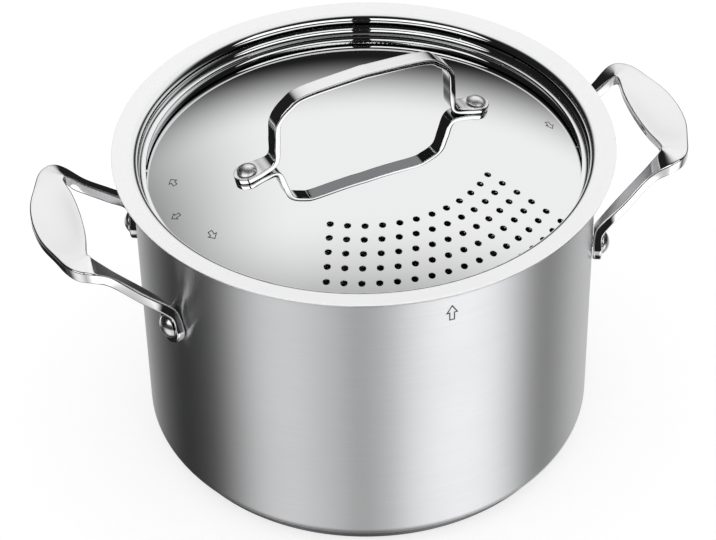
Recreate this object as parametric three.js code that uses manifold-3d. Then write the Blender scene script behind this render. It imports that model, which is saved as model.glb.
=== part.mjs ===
// A covered pasta pot of about six quarts, in drawn stainless steel, with a
// strainer lid. Millimetres, +Z up. The origin is the centre of the underside.
// +X runs through the two side handles and -Y is the front, where the lid pours.
//
//   pot      a drawn shell with a flared lip, an aluminium disc and a cap under it
//   handles  two cast loops, each with two feet riveted to the wall
//   lid      a domed pressing with a sunk gutter, a skirt, a flange and drain holes,
//            a strap handle on two rivets, and two lugs that turn under two catches

import * as THREE from 'three';
import { mergeVertices } from 'three/addons/utils/BufferGeometryUtils.js';
import Module from 'manifold-3d';

const wasm = await Module();
wasm.setup();

// Driving sizes

// Gaps between pieces that are made apart and then seated on each other.
const fit = {
  seat: 0.3,           // between two faces that rest on each other
  bore: 0.3,           // round a rivet's shank in its hole
  overrun: 2,          // how far a cutting tool runs past what it cuts
  weld: 0.0001,        // corners of a mesh that lie closer than this are one corner
};

const pot = {
  insideRadius: 110,
  wall: 0.9,
  height: 159.6,       // to the top of the lip's outer edge
  lipWidth: 8.5,       // from the wall's outside to the lip's edge
  lipBend: 3.2,        // inside radius where the wall turns out into the lip
  cornerRadius: 8,     // outside radius where the wall turns into the floor
};
const lipTilt = THREE.MathUtils.degToRad(10.7);

const base = {
  inset: 6.1,          // of the cap's rim from the wall's outside
  sheet: 0.6,
  cornerRadius: 1.4,
  coreThickness: 3.4,
  rimGap: 0.7,         // open groove between the cap's rim and the shell above it
};

const lid = {
  sheet: 0.9,
  overhang: 0.6,       // of the flange past the pot's lip
  skirtGap: 1.4,       // between the skirt and the inside of the pot
  skirtHeight: 2.7,    // of the skirt's straight part
  flangeBend: 2.3,     // underside radius where the flange turns down
  gutterBend: 3,       // top radius where the skirt turns into the dome
  domeRadius: 353.4,   // of the ball that the dome's top is part of
};
const lidTurn = THREE.MathUtils.degToRad(10);

const drain = {
  holeDiameter: 3.2,
  firstRow: 63.7,      // radius of the row that lies furthest in
  rowStep: 8,
  pitch: 8.03,
};
const firstRowHoles = 12;

const lidHandle = {
  rivetRadius: 59.8,   // from the lid's axis to each rivet
  footEnd: 6.6,        // from the rivet to the foot's outer end
  footWidth: 12.4,
  strapWidth: 8.4,
  strapThickness: 3,
  legInset: 13,        // from the rivet in to the leg's lower end
  kneeRise: 6,         // of the leg's lower end over the dome
  legLean: 2,          // how much further in the leg's top is
  legHeight: 21,
  shoulderInset: 6,    // from the leg's top in to where the strap has turned
  shoulderHeight: 7,
  archHeight: 6,       // of the arch's middle over its shoulders
};
const archQuarterShare = 0.67;     // of its height, reached half way to its middle

const lidRivet = {
  shankDiameter: 4.6,
  headDiameter: 9.6,
  headHeight: 2.7,
  tailDiameter: 8.4,
  tailHeight: 1.4,
};

const sideHandle = {
  rivetDrop: 53.2,     // from the pot's full height down to the rivets
  rivetSpacing: 80,    // straight across from one foot's rivet to the other's
  footWidth: 16.6,
  footThickness: 4.3,
  footDrop: 9.2,       // from the rivet to the foot's rounded lower end
  footRise: 6,         // from the rivet to where the arm leaves the wall
  armWidth: 7.2,
  armThickness: 5.2,
  reach: 50,           // from the wall to the grip's outer edge
  rise: 40,            // from the rivet to the middle of the grip
  gripWidth: 23.6,
  gripThickness: 4.8,
  gripDish: 0.9,       // how far the grip's top is hollowed
  endWidth: 14.4,      // of the grip where it meets the corners
  endInset: 6.5,       // how far the grip's outer edge curves back there
  turningWidth: 11.6,  // where the arm turns into the corner
  cornerWidth: 13,
  cornerThickness: 6.2,
  cornerDrop: 4.5,     // of the arm's upper end below the grip
  gapWidth: 64.5,      // of the finger gap, from arm to arm
  gapCorner: 3,        // radius in the finger gap's corners
};
// Where sections are set: along each arm, round each corner and along half the grip.
const armShares = [0.35, 0.8];
const cornerShares = [0.16, 0.5];
const gripShares = [1, 0.6, 0.3, 0];

const sideRivet = {
  shankDiameter: 5.4,
  headDiameter: 11.4,
  headHeight: 3.3,
  tailDiameter: 10,
  tailHeight: 1.6,
};

const lock = {
  lugLength: 16,
  lugThickness: 1.2,
  lugInset: 1.5,       // how far the lug reaches in past the gutter's lowest line
  catchLength: 38,
  catchHeight: 1.7,
  clearance: 0.5,      // between a lug's end and the pot's wall, and under a catch
};
const catchTurn = THREE.MathUtils.degToRad(38);

// How finely round forms are cut.
const around = 48;
const rivetSides = 12;
const holeSides = 7;
const sectionSides = 12;
const arcSides = 3;
const bendSides = 2;
const domeSides = 4;
const endTurn = THREE.MathUtils.degToRad(80);
const cornerPower = 0.45;

// Derived sizes

const potOutside = pot.insideRadius + pot.wall;
const lipRadius = potOutside + pot.lipWidth;
const baseRadius = potOutside - base.inset;
const floorUnderside = base.sheet + fit.seat + base.coreThickness + fit.seat;

const lipTop = (r) => pot.height - (lipRadius - r) * Math.tan(lipTilt);
const flangeUnderside = (r) => lipTop(r) + fit.seat / Math.cos(lipTilt);
const flangeRadius = lipRadius + lid.overhang;

// Both the lip and the flange turn from the vertical to the lip's tilt. Gives the
// centre of such a bend whose upper end meets a sloping line.
const bendTurn = Math.PI / 2 + lipTilt;
function bendCentre(radius, straightR, line) {
  const r = straightR + radius;
  const endR = r + radius * Math.cos(bendTurn);
  return { r, z: line(endR) - radius * Math.sin(bendTurn) };
}
const lipBendCentre = bendCentre(pot.lipBend, pot.insideRadius, lipTop);

const skirtOutside = pot.insideRadius - lid.skirtGap;
const skirtInside = skirtOutside - lid.sheet;
const flangeBendCentre = bendCentre(lid.flangeBend, skirtOutside, flangeUnderside);
const gutterCentre = {
  r: skirtInside - lid.gutterBend,
  z: flangeBendCentre.z - lid.skirtHeight,
};
const gutterUnderside = gutterCentre.z - lid.gutterBend - lid.sheet;
const ballCentre = gutterCentre.z
  - Math.sqrt((lid.domeRadius + lid.gutterBend) ** 2 - gutterCentre.r ** 2);
const domeHeightAt = (r) => ballCentre + Math.sqrt(lid.domeRadius ** 2 - r ** 2);
const domeTiltAt = (r) => Math.asin(r / lid.domeRadius);

// Shape helpers

const steel = (colour, roughness) => new THREE.MeshStandardMaterial({
  color: colour, metalness: 1, roughness,
});
const finishes = {
  satin: () => steel(0xb9babb, 0.34),
  polished: () => steel(0xd2d3d4, 0.12),
  aluminium: () => steel(0xa9abad, 0.5),
};

const point = (r, z) => new THREE.Vector2(r, z);
const vector = (x, y, z) => new THREE.Vector3(x, y, z);

// Points on an arc in the half plane (radius, height), from one angle to another.
function arc(centre, radius, from, to, steps) {
  return Array.from({ length: steps + 1 }, (_, i) => {
    const a = from + ((to - from) * i) / steps;
    return point(centre.r + radius * Math.cos(a), centre.z + radius * Math.sin(a));
  });
}

// One closed body from any geometry: shared corners merged, slivers dropped and
// the faces turned outward.
function closed(geometry) {
  const bare = new THREE.BufferGeometry();
  bare.setAttribute('position', geometry.getAttribute('position').clone());
  if (geometry.index) bare.setIndex(Array.from(geometry.index.array));
  const merged = mergeVertices(bare, fit.weld);
  const positions = merged.getAttribute('position');
  const corner = (index) => vector().fromBufferAttribute(positions, index);
  const kept = [];
  let volume = 0;
  for (let i = 0; i < merged.index.count; i += 3) {
    const [u, v, w] = [0, 1, 2].map((k) => merged.index.getX(i + k));
    if (u === v || v === w || w === u) continue;
    kept.push(u, v, w);
    volume += corner(u).dot(corner(v).cross(corner(w)));
  }
  if (volume < 0) {
    for (let i = 0; i < kept.length; i += 3) [kept[i], kept[i + 1]] = [kept[i + 1], kept[i]];
  }
  merged.setIndex(kept);
  return merged;
}

function toSolid(geometry) {
  const g = closed(geometry);
  return new wasm.Manifold(new wasm.Mesh({
    numProp: 3,
    vertProperties: new Float32Array(g.getAttribute('position').array),
    triVerts: new Uint32Array(g.index.array),
  }));
}

function toGeometry(solid) {
  const mesh = solid.getMesh();
  const g = new THREE.BufferGeometry();
  g.setAttribute('position', new THREE.BufferAttribute(new Float32Array(mesh.vertProperties), 3));
  g.setIndex(new THREE.BufferAttribute(new Uint32Array(mesh.triVerts), 1));
  return g;
}

const cut = (body, tools) => toGeometry(
  tools.reduce((left, tool) => left.subtract(toSolid(tool)), toSolid(body)),
);

// A body of revolution about Z from a profile of (radius, height) points.
function revolve(profile, segments) {
  const g = new THREE.LatheGeometry(profile, segments);
  g.rotateX(Math.PI / 2);
  return closed(g);
}

// A solid bar between radii and heights that covers a length along its middle line.
function ringPiece(inner, outer, bottom, height, length) {
  const half = length / (inner + outer);
  const shape = new THREE.Shape();
  shape.absarc(0, 0, outer, -half, half, false);
  shape.absarc(0, 0, inner, half, -half, true);
  shape.closePath();
  const g = new THREE.ExtrudeGeometry(shape, {
    depth: height, bevelEnabled: false, curveSegments: 2 * arcSides,
  });
  g.translate(0, 0, bottom);
  return closed(g);
}

// A bar through sections, each a rounded rectangle spread along its across and
// normal directions. A dish hollows the side that faces against the normal.
function loft(stations) {
  const vertices = [];
  for (const s of stations) {
    for (let k = 0; k < sectionSides; k += 1) {
      const a = ((k + 0.5) / sectionSides) * 2 * Math.PI;
      const x = Math.sign(Math.cos(a)) * Math.abs(Math.cos(a)) ** cornerPower;
      const y = Math.sign(Math.sin(a)) * Math.abs(Math.sin(a)) ** cornerPower;
      const hollow = y < 0 ? s.dish * (1 - x * x) : 0;
      vertices.push(...s.centre.clone()
        .addScaledVector(s.across, (x * s.width) / 2)
        .addScaledVector(s.normal, (y * s.thickness) / 2 + hollow)
        .toArray());
    }
  }
  const index = [];
  const last = (stations.length - 1) * sectionSides;
  for (let i = 0; i < last; i += sectionSides) {
    for (let k = 0; k < sectionSides; k += 1) {
      const n = (k + 1) % sectionSides;
      const [p, q, r, t] = [i + k, i + n, i + sectionSides + n, i + sectionSides + k];
      index.push(p, q, r, p, r, t);
    }
  }
  for (let k = 1; k < sectionSides - 1; k += 1) {
    index.push(0, k + 1, k, last, last + k, last + k + 1);
  }
  const g = new THREE.BufferGeometry();
  g.setAttribute('position', new THREE.Float32BufferAttribute(vertices, 3));
  g.setIndex(index);
  return closed(g);
}

// Even stations between a few hand-set ones: every value follows a smooth curve
// through the ones given.
function smoothStations(keys, perSpan) {
  const through = (pick) => new THREE.CatmullRomCurve3(keys.map(pick), false, 'catmullrom');
  const centres = through((k) => k.centre);
  const acrosses = through((k) => k.across);
  const normals = through((k) => k.normal);
  const sizes = through((k) => vector(k.width, k.thickness, k.dish ?? 0));
  const count = (keys.length - 1) * perSpan;
  return Array.from({ length: count + 1 }, (_, i) => {
    const t = i / count;
    const across = acrosses.getPoint(t).normalize();
    const normal = normals.getPoint(t);
    normal.addScaledVector(across, -normal.dot(across)).normalize();
    const size = sizes.getPoint(t);
    return {
      centre: centres.getPoint(t), across, normal,
      width: size.x, thickness: size.y, dish: Math.max(size.z, 0),
    };
  });
}

// A rounded end before a station: the width falls away like a half circle.
function roundedEnd(first, along, length, steps) {
  return Array.from({ length: steps }, (_, i) => {
    const a = endTurn * (1 - i / steps);
    return {
      ...first,
      centre: first.centre.clone().addScaledVector(along, -length * Math.sin(a)),
      width: first.width * Math.cos(a),
    };
  });
}

// The other half of a bar that is alike on both sides of the plane axis = 0.
const axisX = 0;
const axisY = 1;
function bothHalves(stations, axis) {
  const flip = (v) => v.clone().setComponent(axis, -v.getComponent(axis));
  const mirrored = stations.map((s) => (
    { ...s, centre: flip(s.centre), across: flip(s.across), normal: flip(s.normal) }
  ));
  return [...stations, ...mirrored.reverse().slice(1)];
}

// A rivet along +Z: the domed head sits on z = grip and the tail under z = 0.
function rivet(size, grip) {
  const headR = size.headDiameter / 2;
  const tailR = size.tailDiameter / 2;
  const ball = (headR ** 2 + size.headHeight ** 2) / (2 * size.headHeight);
  const rise = Math.asin(headR / ball);
  const middle = { r: 0, z: grip + size.headHeight - ball };
  return revolve([
    point(0, -size.tailHeight),
    point(tailR - size.tailHeight / 2, -size.tailHeight),
    point(tailR, -size.tailHeight / 2),
    point(tailR, 0),
    point(size.shankDiameter / 2, 0),
    point(size.shankDiameter / 2, grip),
    ...arc(middle, ball, Math.PI / 2 - rise, Math.PI / 2, arcSides),
  ], rivetSides);
}

// A drill along +Z that reaches a length both ways from its middle.
const drill = (diameter, reach, sides) => new THREE.CylinderGeometry(
  diameter / 2, diameter / 2, 2 * reach, sides,
).rotateX(Math.PI / 2);

const root = new THREE.Group();
const lidGroup = new THREE.Group();
lidGroup.rotation.z = lidTurn;
root.add(lidGroup);
function add(name, geometry, material, parent = root) {
  const mesh = new THREE.Mesh(geometry, material);
  mesh.name = name;
  parent.add(mesh);
}

const sides = [
  { name: 'right', turn: 0, front: -1 },
  { name: 'left', turn: Math.PI, front: 1 },
];

// The side handles

const rivetHeight = pot.height - sideHandle.rivetDrop;
const rivetAngle = Math.asin(sideHandle.rivetSpacing / 2 / potOutside);
const footStart = potOutside + fit.seat;

// Places a geometry made along +Z on the wall, facing out at a rivet's place.
function onWall(geometry, angle, radius) {
  return geometry.rotateY(Math.PI / 2).rotateZ(angle)
    .translate(radius * Math.cos(angle), radius * Math.sin(angle), rivetHeight);
}

const wallDrill = (angle) => onWall(
  drill(sideRivet.shankDiameter + 2 * fit.bore,
    sideHandle.footThickness + pot.wall + fit.overrun, rivetSides),
  angle, potOutside,
);

// Sections that turn about the finger gap's corner, from the arm (0) to the grip (1),
// and sections across the grip, at a share of the way from its middle to its end.
const gripHeight = rivetHeight + sideHandle.rise;
const gripOutside = potOutside + sideHandle.reach;
const gapCornerX = gripOutside - sideHandle.endInset - sideHandle.endWidth
  - sideHandle.gapCorner;
const gapCornerY = sideHandle.gapCorner - sideHandle.gapWidth / 2;

function cornerSection(share, width, thickness, drop) {
  const a = (share - 1) * (Math.PI / 2);
  const spoke = vector(Math.cos(a), Math.sin(a), 0);
  return {
    centre: vector(gapCornerX, gapCornerY, gripHeight - drop)
      .addScaledVector(spoke, sideHandle.gapCorner + width / 2),
    across: spoke.negate(), normal: vector(0, 0, -1), width, thickness,
  };
}

function gripSection(share) {
  const h = sideHandle;
  const width = h.gripWidth - (h.gripWidth - h.endWidth) * share ** 2;
  const x = gripOutside - h.endInset * share ** 2 - width / 2;
  return {
    centre: vector(x, gapCornerY * share, gripHeight),
    across: vector(-1, 0, 0), normal: vector(0, 0, -1), width,
    thickness: h.gripThickness, dish: h.gripDish * (1 - share ** 2),
  };
}

// The right-hand handle: from the front foot's end up the arm, round the corner of
// the finger gap and along the grip to its middle, then mirrored.
function sideHandleGeometry() {
  const h = sideHandle;
  const out = vector(Math.cos(rivetAngle), -Math.sin(rivetAngle), 0);
  const round = vector(Math.sin(rivetAngle), Math.cos(rivetAngle), 0);
  const onFoot = (height, away) => out.clone()
    .multiplyScalar(footStart + h.footThickness / 2 + away).setZ(rivetHeight + height);
  const foot = {
    centre: onFoot(0, 0), across: round, normal: out,
    width: h.footWidth, thickness: h.footThickness,
  };

  const armStart = onFoot(h.footRise + h.armThickness, h.armThickness / 2);
  const armEnd = cornerSection(0, h.armWidth, h.armThickness, h.cornerDrop).centre;
  const slope = vector().subVectors(armEnd, armStart).normalize();
  const underArm = vector(slope.z, 0, -slope.x);
  const arm = (share) => ({
    centre: armStart.clone().lerp(armEnd, share),
    across: vector(0, 1, 0), normal: underArm, width: h.armWidth, thickness: h.armThickness,
  });

  const [turning, turned] = cornerShares;
  const keys = [
    foot,
    { ...foot, centre: onFoot(h.footRise, 0), width: (h.footWidth + h.armWidth) / 2 },
    { ...arm(0), across: round, normal: out.clone().add(underArm).normalize() },
    ...armShares.map(arm),
    cornerSection(turning, h.turningWidth, h.cornerThickness, h.cornerDrop / 2),
    cornerSection(turned, h.cornerWidth, h.cornerThickness,
      (h.cornerThickness - h.gripThickness) / 2),
    ...gripShares.map(gripSection),
  ];
  const half = smoothStations(keys, 2);
  const end = roundedEnd(half[0], vector(0, 0, 1), h.footDrop, arcSides);
  const wallTool = revolve([
    point(0, 0), point(footStart, 0), point(footStart, pot.height), point(0, pot.height),
  ], around);
  return cut(loft(bothHalves([...end, ...half], axisY)),
    [wallTool, wallDrill(-rivetAngle), wallDrill(rivetAngle)]);
}

// The tails lie flat inside the wall, so they stand off by the wall's own curve,
// measured to the middle of its facets.
const tailSeat = Math.cos(Math.PI / around)
  * Math.sqrt(pot.insideRadius ** 2 - (sideRivet.tailDiameter / 2) ** 2) - fit.seat;
const sideRivetGrip = footStart + sideHandle.footThickness + fit.seat - tailSeat;

const handleBlank = sideHandleGeometry();
for (const side of sides) {
  add(`${side.name}_handle`, handleBlank.clone().rotateZ(side.turn), finishes.polished());
  for (const [end, sign] of [['front', side.front], ['back', -side.front]]) {
    add(`${side.name}_handle_rivet_${end}`,
      onWall(rivet(sideRivet, sideRivetGrip), side.turn + sign * rivetAngle, tailSeat),
      finishes.polished());
  }
}

// The pot's shell

function shellGeometry() {
  const corner = { r: potOutside - pot.cornerRadius, z: floorUnderside + pot.cornerRadius };
  const edgeR = lipRadius - pot.wall / 2;
  const edge = { r: edgeR, z: lipTop(edgeR) - pot.wall / 2 / Math.cos(lipTilt) };
  const profile = [
    point(0, floorUnderside),
    ...arc(corner, pot.cornerRadius, -Math.PI / 2, 0, arcSides),
    ...arc(lipBendCentre, pot.lipBend - pot.wall, Math.PI, bendTurn, bendSides),
    ...arc(edge, pot.wall / 2, lipTilt - Math.PI / 2, bendTurn, bendSides),
    ...arc(lipBendCentre, pot.lipBend, bendTurn, Math.PI, bendSides),
    ...arc(corner, pot.cornerRadius - pot.wall, 0, -Math.PI / 2, arcSides),
    point(0, floorUnderside + pot.wall),
  ];
  const drills = sides.flatMap((side) => [
    wallDrill(side.turn + rivetAngle), wallDrill(side.turn - rivetAngle),
  ]);
  return cut(revolve(profile, around), drills);
}
add('pot_shell', shellGeometry(), finishes.satin());

// The base

const capCorner = { r: baseRadius - base.cornerRadius, z: base.cornerRadius };
const capInside = baseRadius - base.sheet;
const capTop = floorUnderside - base.rimGap;
add('base_cap', revolve([
  point(0, 0),
  ...arc(capCorner, base.cornerRadius, -Math.PI / 2, 0, bendSides),
  point(baseRadius, capTop),
  point(capInside, capTop),
  ...arc(capCorner, base.cornerRadius - base.sheet, 0, -Math.PI / 2, bendSides),
  point(0, base.sheet),
], around), finishes.satin());

const coreBottom = base.sheet + fit.seat;
const coreRadius = capInside - fit.seat;
const coreChamfer = base.cornerRadius / 2;
add('base_core', revolve([
  point(0, coreBottom),
  point(coreRadius - coreChamfer, coreBottom),
  point(coreRadius, coreBottom + coreChamfer),
  point(coreRadius, coreBottom + base.coreThickness),
  point(0, coreBottom + base.coreThickness),
], around), finishes.aluminium());

// The lid

// Places a geometry made along +Z on the dome at a radius and angle, square to it.
function onDome(geometry, radius, angle, lift) {
  const tilt = domeTiltAt(radius);
  const ball = lid.domeRadius + lift;
  return geometry.rotateY(tilt)
    .translate(ball * Math.sin(tilt), 0, ballCentre + ball * Math.cos(tilt))
    .rotateZ(angle);
}

// A fan of holes towards the front: rows at even steps out to the gutter, each with
// one hole more than the row before.
function drainDrills() {
  const rows = Math.floor((gutterCentre.r - drain.firstRow) / drain.rowStep) + 1;
  return Array.from({ length: rows }, (_, row) => {
    const radius = drain.firstRow + row * drain.rowStep;
    const holes = firstRowHoles + row;
    return Array.from({ length: holes }, (__, i) => onDome(
      drill(drain.holeDiameter, lid.sheet + fit.overrun, holeSides),
      radius, -Math.PI / 2 + ((i - (holes - 1) / 2) * drain.pitch) / radius, 0,
    ));
  }).flat();
}

const lidRivetDrills = (reach, lift) => sides.map((side) => onDome(
  drill(lidRivet.shankDiameter + 2 * fit.bore, reach + fit.overrun, rivetSides),
  lidHandle.rivetRadius, side.turn, lift,
));

function lidGeometry() {
  const edgeR = flangeRadius - lid.sheet / 2;
  const edge = { r: edgeR, z: flangeUnderside(edgeR) + lid.sheet / 2 / Math.cos(lipTilt) };
  const ball = { r: 0, z: ballCentre };
  const meet = Math.atan2(gutterCentre.z - ballCentre, gutterCentre.r);
  const profile = [
    point(0, ballCentre + lid.domeRadius - lid.sheet),
    ...arc(ball, lid.domeRadius - lid.sheet, Math.PI / 2, meet, domeSides).slice(1),
    ...arc(gutterCentre, lid.gutterBend + lid.sheet, meet - Math.PI, 0, arcSides).slice(1),
    ...arc(flangeBendCentre, lid.flangeBend, Math.PI, bendTurn, bendSides),
    ...arc(edge, lid.sheet / 2, lipTilt - Math.PI / 2, bendTurn, bendSides),
    ...arc(flangeBendCentre, lid.flangeBend + lid.sheet, bendTurn, Math.PI, bendSides),
    ...arc(gutterCentre, lid.gutterBend, 0, meet - Math.PI, arcSides),
    ...arc(ball, lid.domeRadius, meet, Math.PI / 2, domeSides).slice(1, -1),
    point(0, ballCentre + lid.domeRadius),
  ];
  return cut(revolve(profile, around), [...drainDrills(), ...lidRivetDrills(lid.sheet, 0)]);
}
add('lid', lidGeometry(), finishes.polished(), lidGroup);

// The lid's handle: half a strap from the right foot to the middle, then mirrored.
function lidHandleGeometry() {
  const h = lidHandle;
  const lift = fit.seat + h.strapThickness / 2;
  const ball = lid.domeRadius + lift;
  const onTop = (radius) => {
    const a = domeTiltAt(radius);
    return vector(ball * Math.sin(a), 0, ballCentre + ball * Math.cos(a));
  };
  const tilt = domeTiltAt(h.rivetRadius);
  const up = vector(Math.sin(tilt), 0, Math.cos(tilt));
  const inward = vector(-Math.cos(tilt), 0, Math.sin(tilt));
  const [outward, over] = [vector(1, 0, 0), vector(0, 0, 1)];
  const strap = (centre, normal) => ({
    centre, normal: normal.clone().normalize(), across: vector(0, 1, 0),
    width: h.strapWidth, thickness: h.strapThickness,
  });
  const at = (inset, rise) => vector(
    h.rivetRadius - inset, 0, domeHeightAt(h.rivetRadius) + rise,
  );

  const legTop = h.kneeRise + h.legHeight;
  const shoulder = legTop + h.shoulderHeight;
  const foot = { ...strap(onTop(h.rivetRadius), up), width: h.footWidth };
  const half = smoothStations([
    foot,
    { ...strap(onTop(h.rivetRadius - h.footEnd), up), width: (h.footWidth + h.strapWidth) / 2 },
    strap(at(h.legInset, h.kneeRise), outward.clone().add(up)),
    strap(at(h.legInset + h.legLean / 2, h.kneeRise + h.legHeight / 2), outward),
    strap(at(h.legInset + h.legLean, legTop), outward),
    strap(at(h.legInset + h.legLean + h.shoulderInset, shoulder), outward.clone().add(over)),
    strap(at(h.rivetRadius / 2, shoulder + h.archHeight * archQuarterShare), over),
    strap(at(h.rivetRadius, shoulder + h.archHeight), over),
  ], 2);
  const end = roundedEnd(half[0], inward, h.footEnd, arcSides);

  // What the feet stand on: the dome with the seat's gap, out to the skirt.
  const reach = Math.acos(skirtInside / (lid.domeRadius + fit.seat));
  const domeTool = revolve([
    point(0, pot.height - lipRadius), point(skirtInside, pot.height - lipRadius),
    ...arc({ r: 0, z: ballCentre }, lid.domeRadius + fit.seat, reach, Math.PI / 2,
      2 * domeSides).slice(0, -1),
    point(0, ballCentre + lid.domeRadius + fit.seat),
  ], around);
  return cut(loft(bothHalves([...end, ...half], axisX)),
    [domeTool, ...lidRivetDrills(h.strapThickness, lift)]);
}
add('lid_handle', lidHandleGeometry(), finishes.polished(), lidGroup);

const lidRivetGrip = lid.sheet + 2 * fit.seat + lidHandle.strapThickness + fit.seat;
for (const side of sides) {
  add(`lid_handle_rivet_${side.name}`,
    onDome(rivet(lidRivet, lidRivetGrip), lidHandle.rivetRadius, side.turn,
      -lid.sheet - fit.seat),
    finishes.polished(), lidGroup);
}

// The lock: two lugs under the gutter turn under two catches inside the wall, which
// stand no further in than the skirt, so that the lid lifts past them.
const lugOutside = pot.insideRadius - lock.clearance;
const lugTop = gutterUnderside - fit.seat;
const catchInside = skirtOutside + fit.seat;
const catchOutside = pot.insideRadius - fit.seat;
for (const side of sides) {
  add(`lid_lock_lug_${side.name}`,
    ringPiece(gutterCentre.r - lock.lugInset, lugOutside, lugTop - lock.lugThickness,
      lock.lugThickness, lock.lugLength).rotateZ(side.turn),
    finishes.satin(), lidGroup);
  add(`pot_lock_catch_${side.name}`,
    ringPiece(catchInside, catchOutside, lugTop + lock.clearance,
      lock.catchHeight, lock.catchLength).rotateZ(side.turn + catchTurn),
    finishes.satin());
}

export default root;
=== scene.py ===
"""A pasta pot with a strainer lid: smooth pieces, finishes and a studio.

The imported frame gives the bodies, the joint and the box. Every piece here is made in
millimetres, as a workshop drawing would have it, and turned into metres at the end.
"""

import logging
from collections.abc import Callable, Sequence
from dataclasses import dataclass, replace
from enum import Enum
from math import asin, atan2, cos, hypot, pi, radians, sin, sqrt, tan
from typing import ClassVar

import bmesh
import bpy
from bpy.types import Material, Mesh, Node, NodeSocket, NodeTree
from mathutils import Matrix, Vector
from mathutils.geometry import delaunay_2d_cdt


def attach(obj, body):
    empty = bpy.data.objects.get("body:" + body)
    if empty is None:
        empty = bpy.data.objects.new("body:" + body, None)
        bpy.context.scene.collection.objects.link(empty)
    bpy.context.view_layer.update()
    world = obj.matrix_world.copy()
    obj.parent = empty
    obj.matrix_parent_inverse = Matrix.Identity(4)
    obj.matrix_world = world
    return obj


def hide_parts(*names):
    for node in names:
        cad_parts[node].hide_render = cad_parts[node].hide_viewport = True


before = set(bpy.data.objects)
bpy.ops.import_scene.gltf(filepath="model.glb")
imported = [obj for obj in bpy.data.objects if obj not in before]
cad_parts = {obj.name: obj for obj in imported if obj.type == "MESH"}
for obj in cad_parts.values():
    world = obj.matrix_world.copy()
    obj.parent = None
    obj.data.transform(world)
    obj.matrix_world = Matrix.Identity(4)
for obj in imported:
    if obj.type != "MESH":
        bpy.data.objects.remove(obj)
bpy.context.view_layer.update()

logging.basicConfig(level=logging.INFO, format="%(name)s: %(message)s")
log = logging.getLogger("pasta_pot")

METRES = 0.001
FULL_TURN = 2 * pi
QUARTER_TURN = pi / 2
UP, DOWN = Vector((0, 0, 1)), Vector((0, 0, -1))
OUT, IN, ACROSS = Vector((1, 0, 0)), Vector((-1, 0, 0)), Vector((0, 1, 0))

Pair = tuple[float, float]
Colour = tuple[float, float, float]
Profile = list[Pair]
Curve = Callable[[Vector], Vector | None]
Placing = Callable[[float, float, float], Vector]


class Body(Enum):
    """The frame's moving bodies."""

    POT = "pot"
    LID = "lid"


class Side(Enum):
    """The two sides that carry a handle, with the turn that takes a piece there."""

    RIGHT = 0.0
    LEFT = pi

    @property
    def word(self) -> str:
        """The side's name as the frame's nodes have it."""
        return self.name.lower()


# --- Shader graphs ---


def arithmetic(operation: str, swapped: bool = False) -> Callable:
    """Makes an operator of Shade that adds a Math node.

    Args:
        operation: the node's operation.
        swapped: whether the other value comes first.

    Returns:
        The operator.
    """

    def operate(self: "Shade", other: "Shade | float") -> "Shade":
        """The node's result for this value and another."""
        inputs = dict(enumerate((other, self) if swapped else (self, other)))
        return self.graph.shade("ShaderNodeMath", {"operation": operation}, inputs)

    return operate


class Shade:
    """A shader socket with the arithmetic of a number."""

    __add__ = __radd__ = arithmetic("ADD")
    __sub__ = arithmetic("SUBTRACT")
    __rsub__ = arithmetic("SUBTRACT", swapped=True)
    __mul__ = __rmul__ = arithmetic("MULTIPLY")
    __truediv__ = arithmetic("DIVIDE")
    __rtruediv__ = arithmetic("DIVIDE", swapped=True)
    __pow__ = arithmetic("POWER")
    __rpow__ = arithmetic("POWER", swapped=True)
    larger = arithmetic("MAXIMUM")

    def __init__(self, graph: "Graph", socket: NodeSocket) -> None:
        """Wraps an output socket that carries a number."""
        self.graph = graph
        self.socket = socket

    def swing(self, size: float) -> "Shade":
        """Noise as a swing about 0."""
        return (self - 0.5) * size

    def step(self, low: float, high: float) -> "Shade":
        """Rises smoothly from 0 at one value to 1 at another."""
        inputs = {"Value": self, "From Min": low, "From Max": high}
        return self.graph.shade(
            "ShaderNodeMapRange", {"interpolation_type": "SMOOTHSTEP"}, inputs)


@dataclass(frozen=True)
class Grain:
    """Noise over a piece's own coordinates, drawn out along its axes."""

    scale: float
    detail: float
    stretch: tuple[float, float, float] = (1.0, 1.0, 1.0)


@dataclass(frozen=True)
class Relief:
    """How deep a bump looks."""

    strength: float
    depth: float = 0.0002


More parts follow.
